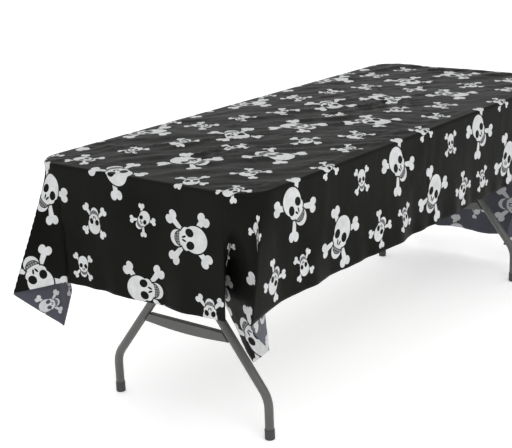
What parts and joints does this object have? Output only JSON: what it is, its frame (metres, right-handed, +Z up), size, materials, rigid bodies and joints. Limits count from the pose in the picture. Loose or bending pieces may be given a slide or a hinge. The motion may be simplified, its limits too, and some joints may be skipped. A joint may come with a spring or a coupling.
{
  "type": "tablecloth on a folding banquet table",
  "caption": "Rectangular printed plastic film tablecloth draped over a folding banquet table with wishbone steel legs.",
  "frame": {"origin": "on the floor, under the middle of the table", "axes": "+X along the table to its far end, +Y to the left across it, +Z up"},
  "size_m": [2.0543, 0.9872, 0.738],
  "materials": {
    "printed_film": "thin satin plastic film, black with an off-white skull and crossbones print, bluish grey underside, fine creases",
    "board": "blow-moulded polyethylene with a pebbled texture",
    "painted_steel": "dark grey powder coat, satin",
    "zinc_steel": "zinc plated",
    "foot_plastic": "moulded, matt"
  },
  "bodies": {
    "table": {"tabletop": "board", "edge_band": "board", "side_rail_left": "painted_steel", "side_rail_right": "painted_steel", "near_centre_bracket": "zinc_steel", "near_bracket_pin": "zinc_steel", "far_centre_bracket": "zinc_steel", "far_bracket_pin": "zinc_steel", "rail_screw_1": "zinc_steel", "rail_screw_2": "zinc_steel", "rail_screw_3": "zinc_steel", "rail_screw_4": "zinc_steel", "rail_screw_5": "zinc_steel", "rail_screw_6": "zinc_steel", "rail_screw_7": "zinc_steel", "rail_screw_8": "zinc_steel", "bracket_screw_1": "zinc_steel", "bracket_screw_2": "zinc_steel", "bracket_screw_3": "zinc_steel", "bracket_screw_4": "zinc_steel"},
    "near_legs": {"near_pivot_tube": "painted_steel", "near_leg_left": "painted_steel", "near_leg_right": "painted_steel", "near_lower_crossbar": "painted_steel", "near_upper_crossbar": "painted_steel", "near_brace_lug_left": "painted_steel", "near_lug_pin_left": "zinc_steel", "near_brace_lug_right": "painted_steel", "near_lug_pin_right": "zinc_steel", "near_pivot_collar_left": "zinc_steel", "near_pivot_collar_right": "zinc_steel", "near_foot_cap_left": "foot_plastic", "near_foot_cap_right": "foot_plastic"},
    "near_brace_upper": {"near_brace_rod": "zinc_steel", "near_knee_pin": "zinc_steel"},
    "near_brace_lower": {"near_brace_bar_left": "zinc_steel", "near_knee_rivet_left": "zinc_steel", "near_brace_bar_right": "zinc_steel", "near_knee_rivet_right": "zinc_steel"},
    "far_legs": {"far_pivot_tube": "painted_steel", "far_leg_left": "painted_steel", "far_leg_right": "painted_steel", "far_lower_crossbar": "painted_steel", "far_upper_crossbar": "painted_steel", "far_brace_lug_left": "painted_steel", "far_lug_pin_left": "zinc_steel", "far_brace_lug_right": "painted_steel", "far_lug_pin_right": "zinc_steel", "far_pivot_collar_left": "zinc_steel", "far_pivot_collar_right": "zinc_steel", "far_foot_cap_left": "foot_plastic", "far_foot_cap_right": "foot_plastic"},
    "far_brace_upper": {"far_brace_rod": "zinc_steel", "far_knee_pin": "zinc_steel"},
    "far_brace_lower": {"far_brace_bar_left": "zinc_steel", "far_knee_rivet_left": "zinc_steel", "far_brace_bar_right": "zinc_steel", "far_knee_rivet_right": "zinc_steel"},
    "cloth": {"tablecloth": "printed_film"}
  },
  "joints": [
    {"name": "near_leg_fold", "type": "hinge", "parent": "table", "child": "near_legs", "pos_m": [-0.744, 0, 0.684], "axis": [0, -1, 0], "range_deg": [0, 90]},
    {"name": "near_brace_rod_turn", "type": "hinge", "parent": "table", "child": "near_brace_upper", "pos_m": [-0.2, 0, 0.7], "axis": [0, 1, 0], "range_deg": [0, 23.6]},
    {"name": "near_brace_bar_turn", "type": "hinge", "parent": "near_legs", "child": "near_brace_lower", "pos_m": [-0.726, 0, 0.474], "axis": [0, -1, 0], "range_deg": [0, 66.42]},
    {"name": "far_leg_fold", "type": "hinge", "parent": "table", "child": "far_legs", "pos_m": [0.744, 0, 0.684], "axis": [0, 1, 0], "range_deg": [0, 90]},
    {"name": "far_brace_rod_turn", "type": "hinge", "parent": "table", "child": "far_brace_upper", "pos_m": [0.2, 0, 0.7], "axis": [0, -1, 0], "range_deg": [0, 23.6]},
    {"name": "far_brace_bar_turn", "type": "hinge", "parent": "far_legs", "child": "far_brace_lower", "pos_m": [0.726, 0, 0.474], "axis": [0, 1, 0], "range_deg": [0, 66.42]},
    {"name": "cloth_lift", "type": "slide", "parent": "table", "child": "cloth", "axis": [0, 0, 1], "range_m": [0, 0.8]}
  ],
  "couplings": [
    {"joint": "near_brace_rod_turn", "follows": "near_leg_fold", "ratio": 0.26216},
    {"joint": "near_brace_bar_turn", "follows": "near_leg_fold", "ratio": 0.73784},
    {"joint": "far_brace_rod_turn", "follows": "far_leg_fold", "ratio": 0.26216},
    {"joint": "far_brace_bar_turn", "follows": "far_leg_fold", "ratio": 0.73784}
  ]
}
